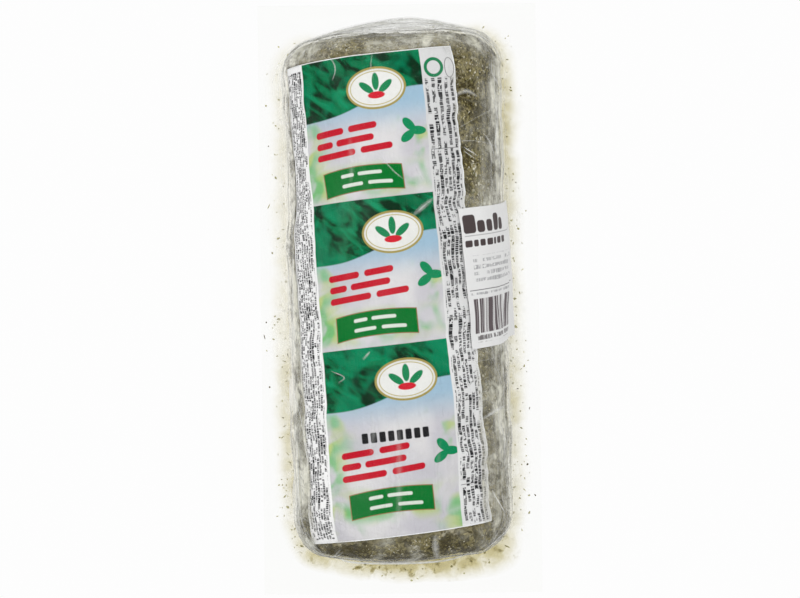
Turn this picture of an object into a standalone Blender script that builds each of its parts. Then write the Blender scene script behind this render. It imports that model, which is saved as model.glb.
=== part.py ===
"""Goat cheese log in a herb crust, vacuum packed in a clear film pouch.

The log lies along Y with its label up. The pouch is two films sealed all round: they hug the
log, leave its sides near the widest line and run out into a flat, slightly wavy border. The
log in its film is one solid. The paper label and the small price label are thin curved sheets
that follow it.

Units are metres and +Z is up. The origin is on the table, under the middle of the pouch.
"""

import math

import bmesh
import bpy
from mathutils import Matrix, Vector, noise
from mathutils.bvhtree import BVHTree

MM = 0.001

# The pouch, seen from above
POUCH_WIDTH = 108.5 * MM
POUCH_LENGTH = 230 * MM
BORDER_ROOT_HEIGHT = 19 * MM
BORDER_DROOP = 6 * MM
BORDER_WAVE = 0.9 * MM
BORDER_THICKNESS = 0.8 * MM
ROOT_THICKNESS = 2.6 * MM

# The log, over its film: its ends are a little narrower, and the far one is cut aslant
FAR_LENGTH = 97 * MM
NEAR_LENGTH = 93.4 * MM
LOG_WIDTH = 83.4 * MM
FAR_NARROWING = 2 * MM
NEAR_NARROWING = 0.8 * MM
LOG_HEIGHT = 72 * MM
WIDEST_HEIGHT = 35 * MM
BELLY_DEPTH = 37.5 * MM
SECTION_POWER = 2.15
FAR_CORNER_RADIUS = 9 * MM
NEAR_CORNER_RADIUS = 9.5 * MM
FAR_BULGE = 3 * MM
NEAR_BULGE = 4.4 * MM
FAR_SLANT = 1.3 * MM
TOP_RIM_RADIUS = 15 * MM
LOW_RIM_RADIUS = 12 * MM
LOG_SHIFT = (-0.85 * MM, 0.0 * MM)
LOG_TURN = math.radians(0.9)

# Where the films leave the log, as angles above and below the widest line
SIDE_LEAVE = math.radians(4)
FAR_END_LEAVE = math.radians(40)
NEAR_END_LEAVE = math.radians(18)
LOW_LEAVE = math.radians(-42)
SIDE_REACH = 6.5 * MM
FAR_CORNER_REACH = 4 * MM
FAR_MIDDLE_REACH = 9.3 * MM
GATHER_SHIFT = 5 * MM
NEAR_END_REACH = 3.5 * MM
PLEAT_DEPTH = 0.7 * MM

# How finely the film is divided
POINTS_PER_QUARTER = 31
DOME_RINGS = 13
TENT_RINGS = 7
BORDER_RINGS = 3
LOW_TENT_RINGS = 4
BELLY_RINGS = 8

# Lumps of the crust that show through the film: size across, then height
LUMPS = ((62 * MM, 1.1 * MM), (24 * MM, 0.9 * MM), (10.5 * MM, 0.75 * MM))

# The labels
LABEL_SIZE = (73 * MM, 177 * MM)
LABEL_CENTRE = (-7.7 * MM, 1.5 * MM)
LABEL_TURN = math.radians(3.7)
PRICE_SIZE = (47 * MM, 52 * MM)
PRICE_CENTRE = (49.9 * MM, 8.7 * MM)
PRICE_TURN = math.radians(5.4)
PAPER_THICKNESS = 0.3 * MM
PAPER_GAP = 0.55 * MM
PRICE_GAP = 1.25 * MM
PAPER_CELL = 5 * MM

UP = Vector((0, 0, 1))


def clear_scene():
    for obj in list(bpy.data.objects):
        bpy.data.objects.remove(obj, do_unlink=True)


def smooth_step(low, high, value):
    share = min(max((value - low) / (high - low), 0.0), 1.0)
    return share * share * (3 - 2 * share)


def mix(a, b, share):
    return a + (b - a) * share


def signed_power(value, power):
    return math.copysign(abs(value) ** power, value)


def quarter_outline(half_length, corner_radius, bulge, narrowing):
    """Points of the log's widest outline, from the middle of its side to the middle of an end."""
    half_width = LOG_WIDTH / 2
    side = half_length - corner_radius
    arc = corner_radius * math.pi / 2
    end = half_width - corner_radius
    points = []
    for step in range(POINTS_PER_QUARTER + 1):
        run = (side + arc + end) * step / POINTS_PER_QUARTER
        if run < side:
            x, y = half_width, run
        elif run < side + arc:
            turn = (run - side) / corner_radius
            x = end + corner_radius * math.cos(turn)
            y = side + corner_radius * math.sin(turn)
        else:
            x, y = end - (run - side - arc), half_length
        at_end = smooth_step(side - corner_radius, half_length, y)
        narrower = 1 - narrowing / LOG_WIDTH * smooth_step(0.1, 0.6, y / half_length)
        points.append((x * narrower, y + bulge * at_end * (1 - (x / half_width) ** 2)))
    return points


def quarter_rim():
    """Points of the pouch's cut edge that answer to quarter_outline's, with one at the corner."""
    corner = POINTS_PER_QUARTER * 4 // 5
    points = []
    for step in range(POINTS_PER_QUARTER + 1):
        if step <= corner:
            points.append((POUCH_WIDTH / 2, POUCH_LENGTH / 2 * step / corner))
        else:
            share = (step - corner) / (POINTS_PER_QUARTER - corner)
            points.append((POUCH_WIDTH / 2 * (1 - share), POUCH_LENGTH / 2))
    return points


def all_round(far, near):
    """The quarters towards the far and the near end, mirrored into a closed anticlockwise loop."""
    points = far + [(-x, y) for x, y in reversed(far[:-1])]
    points += [(-x, -y) for x, y in near[1:]] + [(x, -y) for x, y in reversed(near[1:-1])]
    return [Vector((x, y, 0)) for x, y in points]


def far_end(y):
    """1 at the log's far end, where the film is gathered, 0 elsewhere."""
    return smooth_step(FAR_LENGTH * 0.84, FAR_LENGTH, y)


def near_end(y):
    return smooth_step(NEAR_LENGTH * 0.8, NEAR_LENGTH, -y)


def far_middle(x):
    """1 across the far end where its film is gathered most, falling to 0 at its corners."""
    from_peak = x - GATHER_SHIFT
    to_corner = LOG_WIDTH / 2 - math.copysign(GATHER_SHIFT, from_peak)
    return max(1 - (from_peak / to_corner) ** 2, 0.0)


def gathered(point):
    """How far the film stands off the log at an outline point: only at the far end."""
    return far_end(point.y) * far_middle(point.x) ** 0.7


def on_log(point, angle):
    """The point of the log's film at an angle above its widest line, over an outline point."""
    power = 2 / SECTION_POWER
    depth = LOG_HEIGHT - WIDEST_HEIGHT if angle > 0 else BELLY_DEPTH
    rise = depth * signed_power(math.sin(angle), power)
    rim = TOP_RIM_RADIUS if angle > 0 else LOW_RIM_RADIUS
    into_rim = max(abs(rise) - (depth - rim), 0.0)
    lost = rim - math.sqrt(max(rim * rim - into_rim * into_rim, 0.0))
    apex = FAR_LENGTH + FAR_BULGE if point.y > 0 else NEAR_LENGTH + NEAR_BULGE
    along = 1 - lost / apex
    across = signed_power(math.cos(angle), power)
    return Vector((point.x * across, point.y * along, max(WIDEST_HEIGHT + rise, 0.0)))


def on_curve(start, bend, end, share):
    """A point of the quadratic curve from start to end that bend pulls."""
    return start * (1 - share) ** 2 + bend * (2 * share * (1 - share)) + end * share**2


def place(point):
    """From the log's own axes to the pouch's, with its far end cut aslant."""
    slant = FAR_SLANT * 2 * point.x / LOG_WIDTH * far_end(point.y)
    turned = Matrix.Rotation(LOG_TURN, 3, "Z") @ (point + Vector((0, slant, 0)))
    return turned + Vector((*LOG_SHIFT, 0))


def border_height(point, share):
    """Height of the border's middle at a share of the way from the log to the cut edge."""
    wave = noise.noise(Vector((point.x, point.y, 0)) / (38 * MM)) * BORDER_WAVE
    return BORDER_ROOT_HEIGHT - BORDER_DROOP * share**1.5 + wave * 2 * share


class Film:
    """The loops of the pouch's film, from the log's crest out to the cut edge and back under it."""

    def __init__(self):
        far = quarter_outline(FAR_LENGTH, FAR_CORNER_RADIUS, FAR_BULGE, FAR_NARROWING)
        near = quarter_outline(NEAR_LENGTH, NEAR_CORNER_RADIUS, NEAR_BULGE, NEAR_NARROWING)
        self.outline = all_round(far, near)
        self.rim = all_round(quarter_rim(), quarter_rim())
        count = len(self.outline)
        self.outward = []
        for i in range(count):
            run = self.outline[(i + 1) % count] - self.outline[i - 1]
            self.outward.append(run.cross(UP).normalized())
        self.loops = []

    def reach(self, point):
        """How far out from the log's outline the border starts."""
        far = mix(FAR_CORNER_REACH, FAR_MIDDLE_REACH, far_middle(point.x) ** 1.7)
        reach = mix(SIDE_REACH, far, far_end(point.y))
        return mix(reach, NEAR_END_REACH, near_end(point.y))

    def leave(self, point):
        angle = mix(SIDE_LEAVE, FAR_END_LEAVE, gathered(point))
        return mix(angle, NEAR_END_LEAVE, near_end(point.y))

    def foot(self, i):
        """Where the border starts, in the pouch's axes."""
        point = self.outline[i]
        return place(point + self.outward[i] * self.reach(point))

    def add(self, grip, point_at):
        """A loop of points, and how firmly the film there follows the lumps of the crust."""
        self.loops.append((grip, [point_at(i) for i in range(len(self.outline))]))

    def add_dome(self):
        for ring in range(DOME_RINGS + 1):
            share = ring / DOME_RINGS

            def point_at(i, share=share):
                point = self.outline[i]
                angle = mix(math.pi / 2, self.leave(point), share)
                return place(on_log(point, angle))

            self.add(1.0, point_at)

    def add_tent(self):
        """The film as it curves from the log's side down to the border, pleated at the far end."""
        for ring in range(1, TENT_RINGS + 1):
            share = ring / TENT_RINGS

            def point_at(i, share=share, ring=ring):
                point = self.outline[i]
                slack = 0.04 + 0.45 * gathered(point)
                start = place(on_log(point, self.leave(point)))
                foot = self.foot(i)
                end = foot.copy()
                end.z = border_height(foot, 0) + ROOT_THICKNESS / 2
                bend = mix(place(point), foot, slack)
                bend.z = end.z + (start.z - end.z) * 0.25 * gathered(point)
                pleat = PLEAT_DEPTH * gathered(point) * (1 if ring % 2 else -1)
                curve = on_curve(start, bend, end, share)
                return curve + self.outward[i] * pleat * (ring < TENT_RINGS)

            self.add(1 - share, point_at)

    def add_border(self, side):
        """The border's upper side, outwards, or its lower side, inwards."""
        shares = [(ring + 1) / BORDER_RINGS for ring in range(BORDER_RINGS)]
        if side < 0:
            shares = [*reversed(shares), 0.0]
        for share in shares:

            def point_at(i, share=share):
                point = mix(self.foot(i), self.rim[i], share)
                swell = mix(BORDER_THICKNESS, ROOT_THICKNESS, (1 - share) ** 2)
                point.z = border_height(point, share) + side * swell / 2
                return point

            self.add(0.0, point_at)

    def add_low_tent(self):
        for ring in range(1, LOW_TENT_RINGS + 1):
            share = ring / LOW_TENT_RINGS

            def point_at(i, share=share):
                point = self.outline[i]
                foot = self.foot(i)
                start = foot.copy()
                start.z = border_height(foot, 0) - ROOT_THICKNESS / 2
                end = place(on_log(point, LOW_LEAVE))
                bend = mix(end, place(point), 0.79)
                bend.z = start.z
                return on_curve(start, bend, end, share)

            self.add(share, point_at)

    def add_belly(self):
        for ring in range(1, BELLY_RINGS + 1):
            angle = mix(LOW_LEAVE, -math.pi / 2, ring / BELLY_RINGS)
            self.add(1.0, lambda i, angle=angle: place(on_log(self.outline[i], angle)))


def lump_height(point):
    return sum(
        noise.noise(point / size + Vector((index * 7.3, 2.1, 4.7))) * height
        for index, (size, height) in enumerate(LUMPS)
    )


def skin_mesh(name, loops):
    """A closed mesh over the loops. The first and the last loop fold flat onto their own middle line."""
    bm = bmesh.new()
    grip_layer = bm.verts.layers.float.new("grip")
    rows = []
    for grip, points in loops:
        row = [bm.verts.new(point) for point in points]
        for vert in row:
            vert[grip_layer] = grip
        rows.append(row)
    for upper, lower in zip(rows, rows[1:]):
        for i in range(len(upper)):
            bm.faces.new((upper[i - 1], lower[i - 1], lower[i], upper[i]))
    bmesh.ops.remove_doubles(bm, verts=bm.verts, dist=0.02 * MM)
    bmesh.ops.dissolve_degenerate(bm, edges=bm.edges, dist=0.02 * MM)
    bm.normal_update()
    for vert in bm.verts:
        height = lump_height(vert.co) * vert[grip_layer]
        vert.co += vert.normal * height * smooth_step(0, 6 * MM, vert.co.z)
    bmesh.ops.triangulate(bm, faces=bm.faces, quad_method="SHORT_EDGE")
    mesh = bpy.data.meshes.new(name)
    bm.to_mesh(mesh)
    bm.free()
    mesh.shade_smooth()
    return mesh


def plain_material(name, colour, roughness, alpha=1.0):
    material = bpy.data.materials.new(name)
    material.use_nodes = True
    shader = material.node_tree.nodes["Principled BSDF"]
    shader.inputs["Base Color"].default_value = (*colour, 1)
    shader.inputs["Roughness"].default_value = roughness
    shader.inputs["Metallic"].default_value = 0.0
    shader.inputs["Alpha"].default_value = alpha
    material.diffuse_color = (*colour, alpha)
    return material


def add_object(mesh, material, collection):
    obj = bpy.data.objects.new(mesh.name, mesh)
    mesh.materials.append(material)
    collection.objects.link(obj)
    return obj


class Wrap:
    """Finds points on a solid by their run round the log from its crest, and their run along it."""

    STEP = math.radians(1)
    WIDEST_TURN = 125

    def __init__(self, mesh):
        bm = bmesh.new()
        bm.from_mesh(mesh)
        self.tree = BVHTree.FromBMesh(bm)
        bm.free()
        self.runs = {0: 0.0}
        for way in (1, -1):
            for turn in range(1, self.WIDEST_TURN + 1):
                here, _ = self.ray(turn * way * self.STEP, 0)
                last, _ = self.ray((turn - 1) * way * self.STEP, 0)
                self.runs[turn * way] = self.runs[(turn - 1) * way] + way * (here - last).length

    def ray(self, angle, along):
        """Where a ray from the log's axis meets the solid, and the outward normal there."""
        start = place(Vector((0, along, WIDEST_HEIGHT)))
        way = Matrix.Rotation(LOG_TURN, 3, "Z") @ Vector((math.sin(angle), 0, math.cos(angle)))
        hit, normal, _, _ = self.tree.ray_cast(start, way)
        return hit, normal

    def angle_of(self, run):
        turns = sorted(self.runs)
        for low, high in zip(turns, turns[1:]):
            if self.runs[high] >= run:
                share = (run - self.runs[low]) / (self.runs[high] - self.runs[low])
                return (low + share) * self.STEP
        return turns[-1] * self.STEP

    def point(self, run, along, lift):
        angle = self.angle_of(run)
        hit, _ = self.ray(angle, along)
        reach = 3 * MM
        sideways = self.ray(self.angle_of(run + reach), along)[0] - hit
        lengthways = self.ray(angle, along + reach)[0] - hit
        return hit + lengthways.cross(sideways).normalized() * -lift


def wrapped_sheet(name, wrap, size, centre, turn, gap):
    """A paper rectangle that follows the solid, as a sheet of its true thickness."""
    cells = [math.ceil(side / PAPER_CELL) for side in size]
    bm = bmesh.new()
    layers = []
    for lift in (gap, gap + PAPER_THICKNESS):
        grid = []
        for j in range(cells[1] + 1):
            row = []
            for i in range(cells[0] + 1):
                flat = Vector(((i / cells[0] - 0.5) * size[0], (j / cells[1] - 0.5) * size[1]))
                flat.rotate(Matrix.Rotation(turn, 2))
                run, along = flat.x + centre[0], flat.y + centre[1]
                row.append(bm.verts.new(wrap.point(run, along, lift)))
            grid.append(row)
        layers.append(grid)
    low, high = layers
    for j in range(cells[1]):
        for i in range(cells[0]):
            bm.faces.new((high[j][i], high[j][i + 1], high[j + 1][i + 1], high[j + 1][i]))
            bm.faces.new((low[j][i], low[j + 1][i], low[j + 1][i + 1], low[j][i + 1]))
    edges = [(j, 0) for j in range(cells[1])] + [(cells[1], i) for i in range(cells[0])]
    edges += [(j, cells[0]) for j in range(cells[1], 0, -1)]
    edges += [(0, i) for i in range(cells[0], 0, -1)]
    for (j, i), (next_j, next_i) in zip(edges, edges[1:] + edges[:1]):
        bm.faces.new((low[j][i], high[j][i], high[next_j][next_i], low[next_j][next_i]))
    bmesh.ops.recalc_face_normals(bm, faces=bm.faces)
    bmesh.ops.triangulate(bm, faces=bm.faces, quad_method="SHORT_EDGE")
    mesh = bpy.data.meshes.new(name)
    bm.to_mesh(mesh)
    bm.free()
    mesh.shade_smooth()
    mesh.set_sharp_from_angle(angle=math.radians(40))
    return mesh


def main():
    clear_scene()
    parts = bpy.data.collections.new("goat_cheese_log")
    bpy.context.scene.collection.children.link(parts)

    film = Film()
    film.add_dome()
    film.add_tent()
    film.add_border(1)
    film.add_border(-1)
    film.add_low_tent()
    film.add_belly()
    pack = skin_mesh("vacuum_pack", film.loops)
    add_object(pack, plain_material("herb_crust_in_film", (0.20, 0.19, 0.13), 0.25), parts)

    wrap = Wrap(pack)
    label = wrapped_sheet(
        "product_label", wrap, LABEL_SIZE, LABEL_CENTRE, LABEL_TURN, PAPER_GAP
    )
    add_object(label, plain_material("green_label", (0.03, 0.36, 0.16), 0.4), parts)
    price = wrapped_sheet("price_label", wrap, PRICE_SIZE, PRICE_CENTRE, PRICE_TURN, PRICE_GAP)
    add_object(price, plain_material("white_paper", (0.86, 0.87, 0.88), 0.5), parts)


main()
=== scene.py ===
"""The goat cheese log in its clear pouch, seen from straight above on a white table."""

import math

import bmesh
import bpy
import numpy as np
from mathutils import Matrix, Vector, noise
from mathutils.bvhtree import BVHTree
from mathutils.kdtree import KDTree


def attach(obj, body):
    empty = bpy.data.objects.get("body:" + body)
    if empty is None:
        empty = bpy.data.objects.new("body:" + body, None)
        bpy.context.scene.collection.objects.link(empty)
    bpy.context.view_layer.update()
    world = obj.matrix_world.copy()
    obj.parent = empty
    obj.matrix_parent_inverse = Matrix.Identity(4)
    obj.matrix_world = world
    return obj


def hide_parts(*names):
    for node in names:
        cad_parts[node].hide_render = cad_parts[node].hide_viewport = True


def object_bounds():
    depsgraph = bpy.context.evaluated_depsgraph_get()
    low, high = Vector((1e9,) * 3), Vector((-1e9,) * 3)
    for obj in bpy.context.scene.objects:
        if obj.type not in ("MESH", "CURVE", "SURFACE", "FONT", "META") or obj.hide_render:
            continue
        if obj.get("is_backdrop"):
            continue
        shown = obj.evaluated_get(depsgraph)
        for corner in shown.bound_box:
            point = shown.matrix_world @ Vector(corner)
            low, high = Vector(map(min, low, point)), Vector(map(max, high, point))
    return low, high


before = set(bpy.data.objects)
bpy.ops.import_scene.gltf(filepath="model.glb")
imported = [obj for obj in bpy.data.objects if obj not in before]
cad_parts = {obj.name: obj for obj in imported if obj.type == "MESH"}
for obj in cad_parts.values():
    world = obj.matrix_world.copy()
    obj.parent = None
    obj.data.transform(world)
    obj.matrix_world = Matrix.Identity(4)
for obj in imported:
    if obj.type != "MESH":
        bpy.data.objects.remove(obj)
cad_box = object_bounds()

MM = 0.001

# The pouch and the log, as in the CAD model
POUCH_WIDTH = 108.5 * MM
POUCH_LENGTH = 230 * MM
BORDER_ROOT_HEIGHT = 19 * MM
BORDER_DROOP = 6 * MM
BORDER_WAVE = 0.9 * MM
BORDER_THICKNESS = 0.8 * MM
ROOT_THICKNESS = 2.6 * MM
FAR_LENGTH = 97 * MM
NEAR_LENGTH = 93.4 * MM
LOG_WIDTH = 83.4 * MM
FAR_NARROWING = 2 * MM
NEAR_NARROWING = 0.8 * MM
LOG_HEIGHT = 72 * MM
WIDEST_HEIGHT = 35 * MM
BELLY_DEPTH = 37.5 * MM
SECTION_POWER = 2.15
FAR_CORNER_RADIUS = 9 * MM
NEAR_CORNER_RADIUS = 9.5 * MM
FAR_BULGE = 3 * MM
NEAR_BULGE = 4.4 * MM
FAR_SLANT = 1.3 * MM
TOP_RIM_RADIUS = 15 * MM
LOW_RIM_RADIUS = 12 * MM
LOG_SHIFT = (-0.85 * MM, 0.0 * MM)
LOG_TURN = math.radians(0.9)
SIDE_LEAVE = math.radians(4)
FAR_END_LEAVE = math.radians(40)
NEAR_END_LEAVE = math.radians(18)
LOW_LEAVE = math.radians(-42)
SIDE_REACH = 6.5 * MM
FAR_CORNER_REACH = 4 * MM
FAR_MIDDLE_REACH = 9.3 * MM
GATHER_SHIFT = 5 * MM
NEAR_END_REACH = 3.5 * MM
LUMPS = ((62 * MM, 1.1 * MM), (24 * MM, 0.9 * MM), (10.5 * MM, 0.75 * MM))
LABEL_SIZE = (73 * MM, 177 * MM)
LABEL_CENTRE = (-7.7 * MM, 1.5 * MM)
LABEL_TURN = math.radians(3.7)
PRICE_SIZE = (47 * MM, 52 * MM)
PRICE_CENTRE = (49.9 * MM, 8.7 * MM)
PRICE_TURN = math.radians(5.4)

# What the pieces over the solids share
PACK_SLOT = "herb_crust_in_film"
FILM_LAYERS = ("milk_and_sheen", "slack", "ends")
WELD = 0.01 * MM
LABEL_EDGE = 1.5 * MM
PAPER_THICKNESS = 0.12 * MM
FLAKE_THICKNESS = 0.22 * MM
LOOSE_THICKNESS = 0.12 * MM
WHEY_OVERLAP = 3 * MM

# The camera looks straight down, turned a little; the lamps have a place, size and power
CAMERA_HEIGHT = 0.9
CAMERA_TURN = math.radians(-0.7)
CAMERA_LENS = 102.15
LAMPS = (
    ("left_box", (-0.75, 0.10, 0.80), (0.5, 1.2), 6.0),
    ("right_box", (0.75, 0.15, 0.80), (0.5, 1.2), 4.6),
    ("far_box", (0.0, 0.95, 0.70), (1.0, 0.4), 2.6),
    ("top_box", (0.0, -0.1, 1.5), (1.2, 1.2), 4.8),
)

# The strongest folds of the film: points in plan in mm, half width in mm, and strength, which is
# below 0 where the fold is a dark line of painted shadow; the pale folds are painted highlight on
# the creases, partly the milky doubled film
DRAWN_FOLDS = (
    (((35, 91), (35.5, 84), (38, 80), (38.3, 74), (37, 65)), 0.65, 0.75),
    (((34.5, 76), (37.2, 69), (36.5, 57), (39, 47)), 0.75, 0.8),
    (((38.9, 60), (39.6, 38)), 0.6, 0.6),
    (((21, 74.2), (23.8, 76), (26.5, 76.1), (29.5, 74.6)), 1.1, 0.45),
    (((24.5, 73.4), (29, 72.6), (33.8, 74.1)), 0.7, -0.6),
    (((24, 55.7), (29.3, 52.6)), 0.35, 0.8),
    (((24.2, 55), (29, 51.9)), 0.35, -0.7),
    (((24, 54.3), (28.5, 51.3)), 0.3, 0.6),
    (((32, 61), (34.7, 57), (36, 52)), 0.7, 0.6),
    (((30, -44.6), (34.6, -42.2), (39, -40.3)), 1.0, 0.65),
    (((36.8, -46), (38.3, -53), (38.2, -64)), 0.8, 0.6),
    (((33, -71), (35.7, -76), (38.3, -80.5)), 0.6, 0.9),
    (((39, -16), (40.6, -25), (40.2, -50), (38.3, -56)), 0.7, 0.65),
    (((38, -67), (41.2, -76), (42, -84)), 0.7, 0.6),
    (((23.5, -97.6), (28.3, -95), (37, -88.7), (42.2, -84.5)), 0.55, 0.9),
    (((26, -96.9), (31.7, -95.5), (37, -94), (40.5, -90)), 0.6, 0.7),
    (((36, -91.8), (41.5, -87.5)), 0.6, -0.6),
    (((-41.8, 82), (-40.9, 66), (-41.8, 50), (-42.2, 36)), 0.7, 0.6),
    (((-41.8, 20), (-41.4, 1), (-38.2, -6.2)), 0.6, 0.85),
    (((-41.8, 0), (-40.7, -8), (-40.6, -26), (-39.8, -36), (-36.4, -43)), 0.7, 0.85),
    (((-39.4, -38), (-37.7, -43), (-36, -51)), 0.55, 0.6),
    (((-38.9, -41), (-38.9, -58), (-38, -80), (-34.2, -92)), 0.6, 0.7),
    (((-41.2, -49), (-40, -66), (-39.7, -83), (-38.2, -90)), 0.6, 0.7),
    (((-34.6, -91.5), (-31.8, -95), (-26.5, -95.5), (-23, -92)), 0.7, 0.5),
    (((-33.5, -90.5), (-30.5, -93.8), (-27, -94)), 0.6, -0.6),
    (((-25.5, -93.5), (-21.5, -89.5)), 0.4, -0.7),
    (((-36.6, -87), (-32, -93.6), (-25.4, -95.1), (-22, -92.9)), 0.5, 0.7),
    (((-36, -97), (-27, -99.1), (-19, -101.9), (3, -102.4), (18, -101.2), (29, -97.4)), 0.6, 1.6),
    (((11.8, -86.5), (12, -92), (12.6, -96)), 1.6, 0.5),
    (((-21, -97.5), (-2, -98.6), (16, -97.6)), 0.6, -0.5),
    (((-25.3, 90), (-23.1, 86.5), (-22.8, 83.6), (-23.9, 80.6)), 0.45, 0.5),
    (((-9.1, 90), (-9.6, 84.8), (-8.6, 80)), 0.4, 0.3),
    (((-17.6, 59.3), (-17, 51), (-17.4, 43)), 1.6, 0.15),
    (((5.1, 30.5), (12.5, 36.6)), 1.2, 0.4),
    (((-6.2, 51.8), (-2, 47), (1.8, 43.7)), 0.4, 0.4),
    (((6, 48), (9.7, 42.9)), 0.4, 0.35),
    (((-13.8, -22), (-11.2, -19.1)), 0.7, 0.4),
    (((-25.6, -26.2), (-20.8, -28.5), (-23.1, -30.7)), 0.4, 0.45),
    (((-10.7, -41.1), (-10.3, -49), (-11.3, -57.2)), 1.4, 0.17),
    (((-1.2, -43.4), (-1, -55.8), (-1.2, -70.5), (-1.8, -88)), 1.5, 0.16),
    (((14, -52), (13, -66), (14.5, -82)), 1.2, 0.12),
    (((-21.8, -73.1), (-22.3, -86.3)), 1.2, 0.18),
)

UP = Vector((0, 0, 1))
rng = np.random.default_rng(5)


def smooth_step(low, high, value):
    share = min(max((value - low) / (high - low), 0.0), 1.0)
    return share * share * (3 - 2 * share)


def mix(a, b, share):
    return a + (b - a) * share


def signed_power(value, power):
    return math.copysign(abs(value) ** power, value)


def bell(value, centre, width):
    return math.exp(-(((value - centre) / width) ** 2))


def quarter_outline(half_length, corner_radius, bulge, narrowing, steps):
    """Points of the log's widest outline, from the middle of its side to the middle of an end."""
    half_width = LOG_WIDTH / 2
    side = half_length - corner_radius
    arc = corner_radius * math.pi / 2
    end = half_width - corner_radius
    points = []
    for step in range(steps + 1):
        run = (side + arc + end) * step / steps
        if run < side:
            x, y = half_width, run
        elif run < side + arc:
            turn = (run - side) / corner_radius
            x = end + corner_radius * math.cos(turn)
            y = side + corner_radius * math.sin(turn)
        else:
            x, y = end - (run - side - arc), half_length
        at_end = smooth_step(side - corner_radius, half_length, y)
        narrower = 1 - narrowing / LOG_WIDTH * smooth_step(0.1, 0.6, y / half_length)
        points.append((x * narrower, y + bulge * at_end * (1 - (x / half_width) ** 2)))
    return points


def quarter_rim(steps):
    """Points of the pouch's cut edge that answer to quarter_outline's, with one at the corner."""
    corner = steps * 4 // 5
    points = []
    for step in range(steps + 1):
        if step <= corner:
            points.append((POUCH_WIDTH / 2, POUCH_LENGTH / 2 * step / corner))
        else:
            share = (step - corner) / (steps - corner)
            points.append((POUCH_WIDTH / 2 * (1 - share), POUCH_LENGTH / 2))
    return points


def all_round(far, near):
    """The quarters towards the far and the near end, mirrored into a closed anticlockwise loop."""
    points = far + [(-x, y) for x, y in reversed(far[:-1])]
    points += [(-x, -y) for x, y in near[1:]] + [(x, -y) for x, y in reversed(near[1:-1])]
    return [Vector((x, y, 0)) for x, y in points]


def far_end(y):
    """1 at the log's far end, where the film is gathered, 0 elsewhere."""
    return smooth_step(FAR_LENGTH * 0.84, FAR_LENGTH, y)


def near_end(y):
    return smooth_step(NEAR_LENGTH * 0.8, NEAR_LENGTH, -y)


def far_middle(x):
    """1 across the far end where its film is gathered most, falling to 0 at its corners."""
    from_peak = x - GATHER_SHIFT
    to_corner = LOG_WIDTH / 2 - math.copysign(GATHER_SHIFT, from_peak)
    return max(1 - (from_peak / to_corner) ** 2, 0.0)


def gathered(point):
    """How far the film stands off the log at an outline point: only at the far end."""
    return far_end(point.y) * far_middle(point.x) ** 0.7


def on_log(point, angle):
    """The point of the log's film at an angle above its widest line, over an outline point."""
    power = 2 / SECTION_POWER
    depth = LOG_HEIGHT - WIDEST_HEIGHT if angle > 0 else BELLY_DEPTH
    rise = depth * signed_power(math.sin(angle), power)
    rim = TOP_RIM_RADIUS if angle > 0 else LOW_RIM_RADIUS
    into_rim = max(abs(rise) - (depth - rim), 0.0)
    lost = rim - math.sqrt(max(rim * rim - into_rim * into_rim, 0.0))
    apex = FAR_LENGTH + FAR_BULGE if point.y > 0 else NEAR_LENGTH + NEAR_BULGE
    along = 1 - lost / apex
    across = signed_power(math.cos(angle), power)
    return Vector((point.x * across, point.y * along, max(WIDEST_HEIGHT + rise, 0.0)))


def on_curve(start, bend, end, share):
    return start * (1 - share) ** 2 + bend * (2 * share * (1 - share)) + end * share**2


def place(point):
    """From the log's own axes to the pouch's, with its far end cut aslant."""
    slant = FAR_SLANT * 2 * point.x / LOG_WIDTH * far_end(point.y)
    turned = Matrix.Rotation(LOG_TURN, 3, "Z") @ (point + Vector((0, slant, 0)))
    return turned + Vector((*LOG_SHIFT, 0))


def lump_height(point):
    return sum(
        noise.noise(point / size + Vector((index * 7.3, 2.1, 4.7))) * height
        for index, (size, height) in enumerate(LUMPS)
    )


def border_height(point, share):
    wave = noise.noise(Vector((point.x, point.y, 0)) / (38 * MM)) * BORDER_WAVE
    return BORDER_ROOT_HEIGHT - BORDER_DROOP * share**1.5 + wave * 2 * share


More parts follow.
